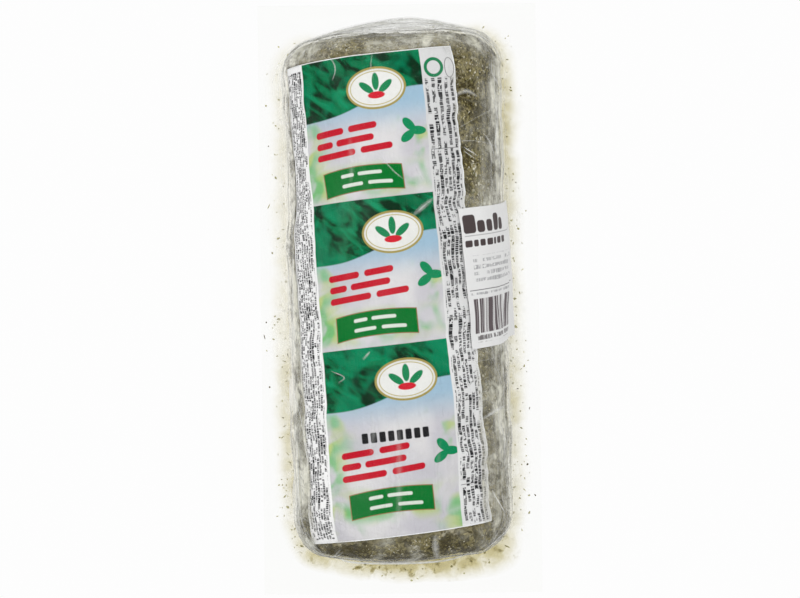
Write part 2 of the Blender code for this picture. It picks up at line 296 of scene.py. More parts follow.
class Outline:
    """The log's outline and the cut edge beyond it, at a given number of points a quarter."""

    def __init__(self, steps):
        far = quarter_outline(FAR_LENGTH, FAR_CORNER_RADIUS, FAR_BULGE, FAR_NARROWING, steps)
        near = quarter_outline(NEAR_LENGTH, NEAR_CORNER_RADIUS, NEAR_BULGE, NEAR_NARROWING, steps)
        self.log = all_round(far, near)
        self.rim = all_round(quarter_rim(steps), quarter_rim(steps))
        self.count = len(self.log)
        self.outward = []
        self.runs = [0.0]
        for i in range(self.count):
            run = self.log[(i + 1) % self.count] - self.log[i - 1]
            self.outward.append(run.cross(UP).normalized())
            if i:
                self.runs.append(self.runs[-1] + (self.log[i] - self.log[i - 1]).length)

    def reach(self, point):
        """How far out from the log's outline the border starts."""
        far = mix(FAR_CORNER_REACH, FAR_MIDDLE_REACH, far_middle(point.x) ** 1.7)
        reach = mix(SIDE_REACH, far, far_end(point.y))
        return mix(reach, NEAR_END_REACH, near_end(point.y))

    def leave(self, point):
        angle = mix(SIDE_LEAVE, FAR_END_LEAVE, gathered(point))
        return mix(angle, NEAR_END_LEAVE, near_end(point.y))

    def beside(self, i, out):
        """The place that is some way out from the log's outline."""
        return place(self.log[i] + self.outward[i] * out)

    def foot(self, i):
        return self.beside(i, self.reach(self.log[i]))

    def upper_film(self, i, share):
        """The top film: 0 at the crest, 1 where it leaves the log, 2 at the foot, 3 at the cut."""
        point = self.log[i]
        if share <= 1:
            return place(on_log(point, mix(math.pi / 2, self.leave(point), share)))
        foot = self.foot(i)
        if share <= 2:
            slack = 0.04 + 0.45 * gathered(point)
            start = place(on_log(point, self.leave(point)))
            end = foot.copy()
            end.z = border_height(foot, 0) + ROOT_THICKNESS / 2
            bend = mix(place(point), foot, slack)
            bend.z = end.z + (start.z - end.z) * 0.25 * gathered(point)
            return on_curve(start, bend, end, share - 1)
        return self.border(i, share - 2, 1)

    def border(self, i, share, side):
        point = mix(self.foot(i), self.rim[i], share)
        swell = mix(BORDER_THICKNESS, ROOT_THICKNESS, (1 - share) ** 2)
        point.z = border_height(point, share) + side * swell / 2
        return point

    def lower_film(self, i, share):
        """The bottom film: 0 at the cut, 1 at the foot, 2 where it meets the log, 3 at its middle."""
        if share <= 1:
            return self.border(i, 1 - share, -1)
        point = self.log[i]
        if share <= 2:
            foot = self.foot(i)
            start = foot.copy()
            start.z = border_height(foot, 0) - ROOT_THICKNESS / 2
            end = place(on_log(point, LOW_LEAVE))
            bend = mix(end, place(point), 0.79)
            bend.z = start.z
            return on_curve(start, bend, end, share - 1)
        return place(on_log(point, mix(LOW_LEAVE, -math.pi / 2, share - 2)))


def loops_mesh(name, loops, count):
    """A closed mesh over loops of points, welded where they meet, with how firmly each is held."""
    verts = [point for _, points in loops for point in points]
    quads = []
    for j in range(len(loops) - 1):
        for i in range(count):
            k = (i + 1) % count
            quads.append((j * count + i, (j + 1) * count + i, (j + 1) * count + k, j * count + k))
    mesh = new_mesh(name, verts, quads)
    give(mesh, "grip", [held for held, points in loops for _ in points])
    points = np.array(verts).reshape(len(loops), count, 3)
    steps = np.linalg.norm(np.diff(points, axis=0), axis=2)
    give(mesh, "run_down", np.concatenate([np.zeros((1, count)), np.cumsum(steps, axis=0)]).ravel())
    bm = bmesh.new()
    bm.from_mesh(mesh)
    bmesh.ops.remove_doubles(bm, verts=bm.verts, dist=WELD)
    bmesh.ops.dissolve_degenerate(bm, edges=bm.edges, dist=WELD)
    bm.normal_update()
    return mesh, bm


def new_mesh(name, verts, faces):
    mesh = bpy.data.meshes.new(name)
    mesh.from_pydata(verts, [], faces)
    return mesh


def give(mesh, name, values):
    """A named number for each of a mesh's points."""
    mesh.attributes.new(name, "FLOAT", "POINT").data.foreach_set("value", values)


def add_lumps(bm):
    """Raises the log's lumps where the film is held to it."""
    grip = bm.verts.layers.float["grip"]
    for vert in bm.verts:
        height = lump_height(vert.co) * vert[grip]
        vert.co += vert.normal * height * smooth_step(0, 6 * MM, vert.co.z)


def in_scene(name, data):
    obj = bpy.data.objects.new(name, data)
    bpy.context.scene.collection.objects.link(obj)
    return obj


def shown(mesh, material, slot):
    """The mesh as a piece of the part, with its material."""
    obj = in_scene(mesh.name, mesh)
    mesh.materials.append(material)
    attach(obj, "root")
    return obj


def finished(bm, mesh, material):
    """A smooth piece, shown with its material."""
    bm.to_mesh(mesh)
    bm.free()
    mesh.shade_smooth()
    return shown(mesh, material, PACK_SLOT)


class Value:
    """What a shader's node gives, for sums with numbers and with other values."""

    def __init__(self, shader, socket):
        self.shader = shader
        self.socket = socket

    def __add__(self, other):
        return self.shader.math("ADD", self, other)

    def __sub__(self, other):
        return self.shader.math("SUBTRACT", self, other)

    def __mul__(self, other):
        return self.shader.math("MULTIPLY", self, other)

    def __truediv__(self, other):
        return self.shader.math("DIVIDE", self, other)

    def __abs__(self):
        return self.shader.math("ABSOLUTE", self)


class Shader:
    """A material's nodes, built from the values that they make."""

    def __init__(self, name):
        self.material = bpy.data.materials.new(name)
        self.material.use_nodes = True
        self.tree = self.material.node_tree
        self.tree.nodes.clear()

    def add(self, kind, *values, output=0, settings=(), **named):
        """A new node's output, with its inputs filled in their order or by name."""
        node = self.tree.nodes.new("ShaderNode" + kind)
        for key, value in dict(settings).items():
            setattr(node, key, value)
        filled = list(zip(node.inputs, values))
        filled += [(node.inputs[key.replace("_", " ")], value) for key, value in named.items()]
        for socket, value in filled:
            if isinstance(value, Value):
                self.tree.links.new(value.socket, socket)
            elif value is not None:
                lacks_alpha = socket.type == "RGBA" and len(value) == 3
                socket.default_value = (*value, 1) if lacks_alpha else value
        return Value(self, node.outputs[output])

    def math(self, operation, *values):
        return self.add("Math", *values, settings={"operation": operation})

    def ramp(self, value, low, high, to_low=0.0, to_high=1.0):
        """Value carried smoothly from one range to another, and held at its ends."""
        smooth = {"interpolation_type": "SMOOTHSTEP"}
        return self.add("MapRange", value, low, high, to_low, to_high, settings=smooth)

    def inside(self, far, edge, soft):
        """1 below an edge, falling smoothly to 0 above it."""
        return self.ramp(far, edge - soft, edge + soft, 1.0, 0.0)

    def line(self, value, width):
        """1 where a noise crosses its middle value, falling to 0 over a width."""
        return self.ramp(abs(value - 0.5), 0.0, width, 1.0, 0.0)

    def blend(self, share, a, b):
        not_colours = [None] * 5
        return self.add("Mix", share, *not_colours, a, b, output=2, settings={"data_type": "RGBA"})

    def attribute(self, name):
        return self.add("Attribute", output="Fac", settings={"attribute_name": name})

    def join(self, x, y, z=0.0):
        return self.add("CombineXYZ", x, y, z)

    def split(self, vector):
        return [Value(self, part) for part in self.add("SeparateXYZ", vector).socket.node.outputs]

    def noise(self, vector, scale, detail=2.0, roughness=0.5, distortion=0.0):
        named = {"Scale": scale, "Detail": detail, "Roughness": roughness, "Distortion": distortion}
        return self.add("TexNoise", vector, **named)

    def place(self, scale=(1, 1, 1)):
        """Where the point is on the object, in metres, stretched by the scale."""
        return self.add("Mapping", self.add("TexCoord", output=3), Scale=scale)

    def bump(self, height, depth):
        return self.add("Bump", Height=height, Distance=depth)

    def principled(self, colour, roughness, normal=None, specular=0.12):
        named = {"Roughness": roughness, "Specular IOR Level": specular, "Normal": normal}
        return self.add("BsdfPrincipled", colour, **named)

    def layer(self, share, under, over):
        return self.add("MixShader", share, under, over)

    def done(self, surface):
        output = self.tree.nodes.new("ShaderNodeOutputMaterial")
        self.tree.links.new(surface.socket, output.inputs["Surface"])
        return self.material


def crust_material():
    s = Shader("herb_crust")
    where = s.place()
    blotch = s.noise(where, 70, 4, 0.6, 0.4)
    fine = s.noise(where, 470, 4, 0.65, 0.5)
    dark = s.blend(s.ramp(blotch, 0.40, 0.60), (0.040, 0.032, 0.007), (0.150, 0.128, 0.062))
    colour = s.blend(s.ramp(fine, 0.40, 0.62), dark, (0.26, 0.222, 0.110))
    green = s.ramp(s.noise(where, 160, 2, 0.5, 0.8), 0.56, 0.68, 0, 0.7)
    colour = s.blend(green, colour, (0.120, 0.118, 0.022))
    paste = s.ramp(s.noise(where, 170, 3, 0.6), 0.57, 0.68, 0, 0.8)
    colour = s.blend(paste, colour, (0.56, 0.52, 0.38))
    return s.done(s.principled(colour, 0.6, s.bump(fine, 1.2 * MM)))


def flake_material(name, low, high):
    s = Shader(name)
    grain = s.noise(s.place(), 1100, 2, 0.6)
    clump = s.ramp(s.noise(s.place(), 85, 3, 0.6), 0.38, 0.62)
    share = grain * 0.25 + s.attribute("tint") * 0.3 + clump * 0.45
    return s.done(s.principled(s.blend(share, low, high), 0.6, s.bump(grain, 0.3 * MM)))


def film_material():
    """Clear film: milky where it stands off the crust, with painted sheen, and fine pleats drawn out
    round the log in painted highlight and shade.
    """
    s = Shader("clear_film")
    milk_and_sheen, slack, ends = (s.attribute(name) for name in FILM_LAYERS)
    where = s.place()
    x, y, z = s.split(where)
    bowed = y + x * x * s.math("SIGN", y) * 3.0

    def stretched(fine, coarse):
        """Noise drawn out along the log's sides, and across its ends."""
        end = s.noise(s.join(x * coarse, bowed * fine, z * (fine * 0.8)), 1, 2, 0.5, 0.4)
        side = s.noise(s.place((fine, coarse, fine * 0.8)), 1, 2, 0.5, 0.4)
        return s.add("Mix", Factor=ends, A=side, B=end)

    pleat = stretched(560, 24)
    streak = stretched(210, 26)
    cloud = s.noise(where, 88, 3, 0.6, 0.8)
    speck = s.noise(where, 420, 3, 0.6, 0.4)
    crinkle = s.noise(where, 130, 3, 0.55, 1.4)
    haze = milk_and_sheen * s.ramp(cloud, 0.38, 0.64, 0.45, 1.45) * s.ramp(streak, 0.34, 0.66, 0.6, 1.4)
    # the pale pleat and crinkle lines are painted highlight on the creases, partly the milky doubled film
    haze = haze * s.ramp(speck, 0.34, 0.66, 0.72, 1.28) + s.line(pleat, 0.026) * slack * 0.24
    haze += s.line(crinkle, 0.010) * s.math("MINIMUM", milk_and_sheen, 0.4) * 0.6
    haze = s.math("MINIMUM", haze, 0.93)
    bumped = s.bump((pleat + crinkle * 0.8 + speck * 0.2) * (slack + 0.08), 1.5 * MM)
    # the veil is painted darker on one side of each pleat and paler on the other as shade and highlight,
    # darker at the far end as painted shade where the crust shows through, and paler and warmer at the
    # left as painted light from the whey beneath
    colour = s.blend(s.ramp(pleat, 0.35, 0.65), (0.50, 0.49, 0.395), (0.74, 0.73, 0.63))
    colour = s.blend(s.ramp(y, 0.094, 0.101) * 0.75, colour, (0.38, 0.375, 0.32))
    colour = s.blend(s.ramp(x, -0.037, -0.043), colour, (0.85, 0.83, 0.745))
    clear = s.add("BsdfTransparent", (0.992, 0.993, 0.988))
    hazy = s.layer(haze, clear, s.principled(colour, 0.35, bumped, 0.4))
    gloss = s.add("BsdfGlossy", (1, 1, 1), Roughness=0.16, Normal=bumped)
    weight = s.add("LayerWeight", Blend=0.22, Normal=bumped)
    return s.done(s.layer(weight * (slack * 0.55 + 0.10), hazy, gloss))


def fold_material():
    s = Shader("film_folds")
    speck = s.noise(s.place(), 420, 2, 0.6)
    share = s.attribute("light") * s.ramp(speck, 0.3, 0.7, 0.6, 1.0)
    # pale ribbons are painted highlight on the creases, partly the milky doubled film; dark ribbons are
    # painted shadow beside the folds
    colour = s.blend(s.attribute("dark"), (0.86, 0.87, 0.84), (0.16, 0.15, 0.10))
    clear = s.add("BsdfTransparent", (1, 1, 1))
    return s.done(s.layer(share, clear, s.principled(colour, 0.35, specular=0.4)))


def whey_material():
    s = Shader("whey")
    where = s.place()
    patch = s.noise(where, 150, 3, 0.6, 0.5)
    deep = s.attribute("deep")
    amount = s.math("MINIMUM", deep * s.ramp(patch, 0.3, 0.7, 0.5, 1.3), 1.2)
    clot = s.ramp(s.noise(where, 260, 3, 0.6, 0.3), 0.54, 0.74)
    clot *= s.math("MINIMUM", deep * 1.6, 1.0) * s.attribute("near")
    colour = s.blend(s.math("MINIMUM", amount, 1.0), (1.0, 1.0, 1.0), (0.785, 0.74, 0.54))
    clear = s.add("BsdfTransparent", s.blend(clot * 0.9, colour, (0.40, 0.35, 0.13)))
    return s.done(s.layer(amount * 0.16, clear, s.principled((0.74, 0.70, 0.50), 0.4)))


def off_middle(value):
    """How far a value is from the middle between the whole numbers beside it."""
    return abs(value.shader.math("FRACT", value) - 0.5)


def small_print(along, across, pitch, seed, fill=0.6):
    """Rows of broken strokes that stand for small print and can't be read, some of them bolder."""
    s = along.shader
    row = across / pitch
    number = s.math("FLOOR", row)
    bold = s.ramp(s.noise(s.join(along * 0.09, number, seed + 5.0), 1.0, 0), 0.50, 0.58)
    band = s.inside(off_middle(row) - (bold * 0.07 + fill / 2), 0.0, 0.06)
    letter = (number * 0.37 + along) / (0.62 * pitch)
    letter = s.noise(s.join(along, number, seed + 1.0), 0.45, 0) * 6.0 + letter
    strokes = s.noise(s.join(along * 0.9, across, seed), 1.9 / pitch, 1, 0.5)
    words = s.noise(s.join(along * 0.4, number, seed + 3.0), 1.0 / pitch, 0)
    inked = s.ramp(strokes + bold * 0.05, 0.36, 0.45) * s.ramp(off_middle(letter), 0.32, 0.46, 1.0, 0.0)
    return band * inked * s.ramp(words, 0.33, 0.37) * (bold * 0.1 + 0.9)


def box_mask(x, y, centre, size, soft=0.15, corner=0.0):
    """1 inside a rectangle with rounded corners, in the units of x and y."""
    s = x.shader
    dx = abs(x - centre[0]) - (size[0] / 2 - corner)
    dy = abs(y - centre[1]) - (size[1] / 2 - corner)
    if not corner:
        return s.inside(s.math("MAXIMUM", dx, dy), 0.0, soft)
    out_x = s.math("MAXIMUM", dx, 0.0)
    out_y = s.math("MAXIMUM", dy, 0.0)
    return s.inside(s.math("SQRT", out_x * out_x + out_y * out_y), corner, soft)


def oval_mask(x, y, centre, size, turn=0.0, soft=0.12):
    dx, dy = x - centre[0], y - centre[1]
    cos, sin = math.cos(turn), math.sin(turn)
    a = (dx * cos + dy * sin) / (size[0] / 2)
    b = (dy * cos + dx * -sin) / (size[1] / 2)
    return x.shader.inside(x.shader.math("SQRT", a * a + b * b), 1, 2 * soft / min(size))


def print_place(s, size):
    """Millimetres across and up a sheet, from its print map."""
    u, v, _ = s.split(s.add("UVMap", settings={"uv_map": "print"}))
    return u * (size[0] / MM), v * (size[1] / MM)


def panel_ground(x, px, low, body):
    """A panel's pale ground: sky at its top, then grey with soft greens at its sides and foot."""
    s = x.shader
    mottle = s.ramp(s.noise(s.join(x, low), 0.05, 2, 0.6), 0.35, 0.65)
    pale = s.blend(mottle, (0.50, 0.49, 0.53), (0.61, 0.60, 0.61))
    pale = s.blend(s.ramp(low, 17, 31, 0.9, 0.0), pale, (0.27, 0.43, 0.56))
    edge = abs((px - 24.0) / 24.0)
    glow = s.noise(s.join(x, low, 4.0), 0.085, 2, 0.5, 0.6)
    at_side = s.ramp(glow, 0.44, 0.66) * s.ramp(edge, 0.4, 1.0, 0.0, 0.9)
    at_foot = s.ramp(body, 38, 44) * s.ramp(body, 49, 55, 1.0, 0.0) * s.ramp(glow, 0.36, 0.6)
    tint = s.ramp(s.noise(s.join(x, low, 9.0), 0.12, 1), 0.4, 0.6)
    tint = s.blend(tint, (0.10, 0.42, 0.10), (0.38, 0.50, 0.09))
    return s.blend(s.math("MAXIMUM", at_side, at_foot) * 0.85, pale, tint)


def leafy_green(x, y):
    s = x.shader
    warp = s.noise(s.join(x, y, 2.0), 0.12, 2, 0.5, 0.8)
    leaf = s.noise(s.join(x * 0.55, (x * 0.55 + y) * 0.9, warp * 4.0), 0.17, 3, 0.55, 1.0)
    shade = s.noise(s.join(x, y, 6.0), 0.10, 2, 0.5, 0.5)
    green = s.blend(s.ramp(leaf, 0.40, 0.58), (0.0, 0.022, 0.007), (0.0, 0.150, 0.056))
    green = s.blend(s.ramp(leaf, 0.56, 0.70, 0.0, 0.75), green, (0.002, 0.27, 0.120))
    return s.blend(s.ramp(shade, 0.44, 0.62, 0.0, 0.7), green, (0.0, 0.20, 0.088))


def label_panel(x, y, px, low, shift):
    """One of the label's panels: a leafy head with a badge, bars over pale ground, and a ribbon."""
    s = x.shader
    line = px * -0.17 + 22.5 + s.math("SINE", px * 0.12) * 1.6
    body = low - shift
    panel = s.blend(s.inside(low - line, 0.0, 0.3), panel_ground(x, px, low, body), leafy_green(x, y))

    badge = (
        ((22.6, 15.6), (0.33, 0.27, 0.08)),
        ((21, 14), (0.66, 0.66, 0.63)),
        ((19.6, 12.6), (0.42, 0.35, 0.12)),
        ((19, 12), (0.70, 0.70, 0.68)),
    )
    for size, colour in badge:
        panel = s.blend(oval_mask(px, low, (31, 13.0), size), panel, colour)
    for cx, cy, turn in ((31, 10.6, 1.57), (27.4, 12.6, 0.7), (34.6, 12.6, -0.7), (31, 15.6, 0.0)):
        leaf = oval_mask(px, low, (cx, cy), (6.4, 2.6), turn)
        panel = s.blend(leaf, panel, (0.55, 0.015, 0.03) if cy > 15 else (0.01, 0.20, 0.075))

    bars = ((11, 28.2, 12), (24.5, 28.2, 11), (8.5, 32.4, 7), (21, 32.4, 15))
    bars += ((13, 36.6, 16), (29, 36.6, 12))
    for cx, cy, width in bars:
        bar = box_mask(px, px * 0.07 + body, (cx, cy), (width, 2.4), corner=1.15)
        panel = s.blend(bar, panel, (0.47, 0.008, 0.022))

    arc = s.math("POWER", (px - 24.0) * 0.05, 2.0) * -2.2 + body
    for size, colour in (((30.4, 9.4), (0.30, 0.16, 0.08)), ((29.8, 8.8), (0.0, 0.15, 0.022))):
        panel = s.blend(box_mask(px, arc, (22, 45.2), size, 0.12), panel, colour)
    for cx, cy, width in ((16.5, 43.4, 5), (25, 43.4, 9), (18, 47.0, 8), (28.5, 47.0, 9)):
        dash = box_mask(px, arc, (cx, cy), (width, 1.3), corner=0.6)
        panel = s.blend(dash, panel, (0.62, 0.66, 0.60))
    for cx, cy, turn in ((42.0, 27.5, 0.9), (45.0, 30.0, 0.1), (41.0, 31.8, -0.6)):
        leaf = oval_mask(px, body, (cx, cy), (6.0, 3.2), turn)
        panel = s.blend(leaf, panel, (0.005, 0.22, 0.085))
    return panel


def label_material():
    """A printed label: three panels with green heads over pale ground, and margins of small print."""
    s = Shader("printed_label")
    x, y = print_place(s, LABEL_SIZE)
    far_up = s.math("SUBTRACT", LABEL_SIZE[1] / MM, y)
    first, second = 53.0, 107.0
    past_first = s.ramp(far_up, first - 0.05, first + 0.05)
    past_second = s.ramp(far_up, second - 0.05, second + 0.05)
    low = far_up - past_first * first - past_second * (second - first)
    px = x - s.ramp(far_up, 26, 52, 11.3, 12.6)
    panel = label_panel(x, y, px, low, past_second * 11.0)
    for block in range(8):
        stamp = box_mask(px, low, (14.5 + 3.1 * block, 33.0), (2.2, 3.8), corner=0.5)
        panel = s.blend(stamp * past_second, panel, (0.012, 0.012, 0.014))

    rippled = x + (s.noise(s.join(x * 0.5, y, 3.0), 0.11, 2, 0.5) * 2.6 - 1.3)
    black = (0.02, 0.02, 0.022)
    # the margin paper is painted darker towards the right, and darker still along the far right, as
    # painted shade; the paper itself is even
    margins = s.blend(s.ramp(x, 10.0, 62.0), (0.80, 0.795, 0.80), (0.69, 0.69, 0.695))
    far_right_shade = s.ramp(x, 50.0, 62.0) * s.ramp(y, 60.0, 115.0)
    margins = s.blend(far_right_shade, margins, (0.595, 0.595, 0.60))
    in_left = box_mask(x, y, (6.2, 88), (10.8, 173)) * s.ramp(px, -1.0, -0.7, 1.0, 0.0)
    in_right = box_mask(x, y, (66.4, 83.2), (11.2, 164.6))
    margins = s.blend(small_print(y, rippled, 1.25, 1.0, 0.72) * in_left, margins, black)
    far_print = small_print(y, rippled, 2.5, 9.0, 0.5)
    near_print = small_print(y, rippled, 1.7, 5.0, 0.66)
    right_print = s.add("Mix", Factor=s.ramp(y, 133.0, 133.4), A=near_print, B=far_print)
    rules = s.ramp(off_middle(y / 31.0), 0.0, 0.006, 1.0, 0.0)
    margins = s.blend(s.math("MAXIMUM", right_print * in_right, rules * in_right), margins, black)
    ring = oval_mask(x, y, (64.6, 169.5), (7.4, 7.4)) - oval_mask(x, y, (64.6, 169.5), (5.0, 5.0))
    margins = s.blend(ring, margins, (0.01, 0.18, 0.07))
    seal = oval_mask(x, y, (70.6, 169.0), (3.9, 7.6), soft=0.1)
    seal -= oval_mask(x, y, (70.6, 169.0), (3.3, 7.0), soft=0.1)
    margins = s.blend(seal * 0.7, margins, black)
    in_panel = s.ramp(px, -0.15, 0.15) * s.ramp(x, 59.75, 60.05, 1.0, 0.0)
    colour = s.blend(in_panel, margins, panel)
    from_side = s.math("MINIMUM", x, s.math("SUBTRACT", LABEL_SIZE[0] / MM, x))
    rim = s.math("MINIMUM", from_side, s.math("MINIMUM", y, far_up))
    colour = s.blend(s.ramp(rim, 0.25, 0.4), (0.84, 0.85, 0.86), colour)
    sheen = s.noise(s.join(x, y * 0.3, 8.0), 0.09, 2, 0.5, 0.4)
    colour = s.blend(s.ramp(sheen, 0.46, 0.74, 0.0, 0.015), colour, (0.85, 0.85, 0.86))
    cockle = s.noise(s.join(x, y), 0.35, 3, 0.55, 0.5)
    crimp = s.noise(s.join(x, y * 0.12), 0.55, 2, 0.5, 0.3)
    return s.done(s.principled(colour, 0.4, s.bump(cockle + crimp, 0.45 * MM), specular=0.02))


def price_material():
    """A plain white price label: blocks, bars and broken strokes in place of print."""
    s = Shader("price_paper")
    x, y = print_place(s, PRICE_SIZE)
    colour = (0.69, 0.69, 0.685)
    dark = (0.06, 0.045, 0.045)
    blocks = ((3.9, 5.8, 6.8), (9.4, 3.8, 4.4), (14.2, 3.8, 4.4), (19.0, 3.8, 6.4), (23.8, 3.8, 4.4))
    for cx, width, height in blocks:
        block = box_mask(x, y, (cx, 42.6 + height / 2), (width, height), corner=1.2)
        colour = s.blend(block, colour, dark)
    for height, darkness in ((41.7, 0.4), (21.5, 0.2)):
        rule = box_mask(x, y, (22.5, height), (42.5, 0.35), soft=0.08)
        colour = s.blend(rule, colour, (darkness, darkness, darkness))
    for cx, width in ((2.9, 3.4), (6.4, 2.2), (9.6, 2.6), (13.8, 3.8), (17.6, 2.4), (21.4, 3.4), (26, 4)):
        colour = s.blend(box_mask(x, y, (cx, 38.8), (width, 2.5), corner=0.6), colour, dark)
    for seed, centre, size in ((7.0, (21.5, 29.2), (35, 10.2)), (8.0, (20, 19.7), (37, 1.8))):
        lines = small_print(x, y, 2.4, seed, 0.5) * box_mask(x, y, centre, size)
        colour = s.blend(lines * 0.75, colour, (0.25, 0.25, 0.26))
    stripes = s.ramp(s.noise(s.join(x, 0.5, 3.0), 1.15, 1, 0.8), 0.46, 0.50)
    in_code = box_mask(x, y, (19.9, 11.9), (35, 12.8))
    colour = s.blend(stripes * in_code, colour, (0.10, 0.08, 0.085))
    digits = small_print(x, y, 2.6, 4.0) * box_mask(x, y, (20, 3.4), (33, 2.6))
    colour = s.blend(digits, colour, (0.16, 0.15, 0.15))
    grain = s.noise(s.join(x, y), 0.4, 3, 0.6)
    return s.done(s.principled(colour, 0.5, s.bump(grain, 0.2 * MM)))


def smooth_line(points, spacing):
    """Points along a smooth curve through the given ones, no further apart than the spacing."""
    ends = [points[0] * 2 - points[1], *points, points[-1] * 2 - points[-2]]
    curve = []
    for before, start, end, after in zip(ends, ends[1:], ends[2:], ends[3:]):
        steps = max(math.ceil((end - start).length / spacing), 1)
        square = before * 2 - start * 5 + end * 4 - after
        cube = start * 3 - before - end * 3 + after
        for step in range(steps):
            t = step / steps
            curve.append((start * 2 + (end - before) * t + square * t * t + cube * t**3) / 2)
    return curve + [points[-1]]


def drawn_folds():
    for plan, width, strength in DRAWN_FOLDS:
        yield smooth_line([Vector((x, y, 0)) * MM for x, y in plan], 0.5 * MM), width * MM, strength


def wandering_folds(outline):
    """Random folds: along the sides, aslant, across the far end where the film is gathered."""
    spacing = outline.runs[-1] / outline.count
    quarter = outline.count // 4
    kinds = (
        (110, (0, 2 * quarter), 13, (0.66, 1.00), (10, 50), 0.08, (0.16, 0.34), (0.15, 0.7)),
        (30, (0, 2 * quarter), 14, (0.50, 0.95), (6, 18), 0.9, (0.14, 0.28), (0.1, 0.35)),
        (120, (quarter, quarter), 5, (0.84, 1.85), (12, 60), 0.14, (0.16, 0.36), (0.25, 0.85)),
        (44, (3 * quarter, 3 * quarter), 5, (0.78, 1.0), (12, 50), 0.10, (0.14, 0.3), (0.2, 0.7)),
    )
    for count, centres, spread, shares, lengths, slant, widths, strengths in kinds:
        for _ in range(count):
            centre = rng.choice(centres) + rng.normal(0, spread * quarter / 20)
            steps = int(rng.uniform(*lengths) * MM / spacing)
            share = rng.uniform(*shares)
            slope = rng.normal(0, slant)
            # some of the thinner random folds are dark lines of painted shadow
            sign = rng.choice((1, 1, -1)) if widths[1] < 0.3 else 1
            seed = rng.uniform(0, 100)
            line = []
            for step in range(steps):
                turn = noise.noise(Vector((seed, step * spacing / (16 * MM), 0))) * 0.10
                at = share + slope * (step / steps - 0.5) + turn
                i = round(centre + step - steps / 2) % outline.count
                line.append(outline.upper_film(i, min(max(at, 0.05), 1.95)))
            strength = sign * rng.uniform(*strengths)
            yield smooth_line(line, 0.6 * MM), rng.uniform(*widths) * MM, strength


def fold_ridge(tree, runs_down, line, width, strength, over_label):
    """A fold's verts across each of its points, from side to side over a low ridge, with their light."""
    points, lights = [], []
    for before, point, after in zip([line[0]] + line[:-1], line, line[1:] + [line[-1]]):
        spot, normal, face, _ = tree.find_nearest(point)
        covered = film_cover(spot, runs_down[face])
        share = (len(points) / 3 + 0.5) / len(line)
        tip = math.sin(math.pi * share) ** 0.5
        across = normal.cross(after - before).normalized() * width * (0.35 + 0.65 * tip)
        lift = normal * 0.06 * MM
        points += [spot + across + lift, spot + lift * 3, spot - across + lift]
        lights += [0.0, abs(strength) * tip * mix(1, over_label, covered), 0.0]
    return points, lights


def make_folds(tree, runs_down, outline):
    """The film's sharp folds: a mesh of thin ridges that lie on it, most of them pale as painted
    highlight, the rest dark as painted shadow.
    """
    rise = 100 * MM
    verts, lights, painted_shadows, faces = [], [], [], []
    folds = []
    for line, width, strength in drawn_folds():
        on_film = [tree.ray_cast(point + UP * rise, -UP)[0] for point in line]
        folds.append(([point for point in on_film if point is not None], width, strength, 1.0))
    folds += [(*fold, 0.25) for fold in wandering_folds(outline)]
    for line, width, strength, over_label in folds:
        points, light = fold_ridge(tree, runs_down, line, width, strength, over_label)
        first = len(verts)
        verts += points
        lights += light
        painted_shadows += [float(strength < 0)] * len(points)
        for n in range(first, first + len(points) - 3, 3):
            faces += [(n, n + 1, n + 4, n + 3), (n + 1, n + 2, n + 5, n + 4)]
    mesh = new_mesh("film_folds", verts, faces)
    give(mesh, "light", lights)
    give(mesh, "dark", painted_shadows)
    mesh.shade_smooth()
    shown(mesh, fold_material(), PACK_SLOT)


def wrinkle(point, ends, slack):
    """Height of the film's larger folds: lengthwise on the sides, across in a bow at the ends."""
    bow = math.copysign(3.0 * point.x * point.x, point.y)
    across = Vector((point.x / (40 * MM), (point.y + bow) / (3 * MM), point.z / (3.6 * MM)))
    lengthwise = Vector((point.x / (3 * MM), point.y / (52 * MM), point.z / (3.6 * MM)))
    fold = mix(noise.noise(lengthwise), noise.noise(across), ends)
    sharp = 1 - min(abs(fold) * 3.0, 1.0)
    return slack * (0.5 * sharp + 0.3 * noise.noise(point / (5 * MM))) * MM


def label_cover(point, down, edge):
    """1 where a point of the log is under the paper label, falling to 0 over an edge's width."""
    own = Matrix.Rotation(-LOG_TURN, 3, "Z") @ (point - Vector((*LOG_SHIFT, 0)))
    flat = Vector((math.copysign(down, own.x), own.y)) - Vector(LABEL_CENTRE)
    flat.rotate(Matrix.Rotation(-LABEL_TURN, 2))
    inside = min(LABEL_SIZE[0] / 2 - abs(flat.x), LABEL_SIZE[1] / 2 - abs(flat.y))
    return smooth_step(-edge / 2, edge / 2, inside)


def film_cover(point, down):
    return label_cover(point, down, LABEL_EDGE) * (point.z > 30 * MM)


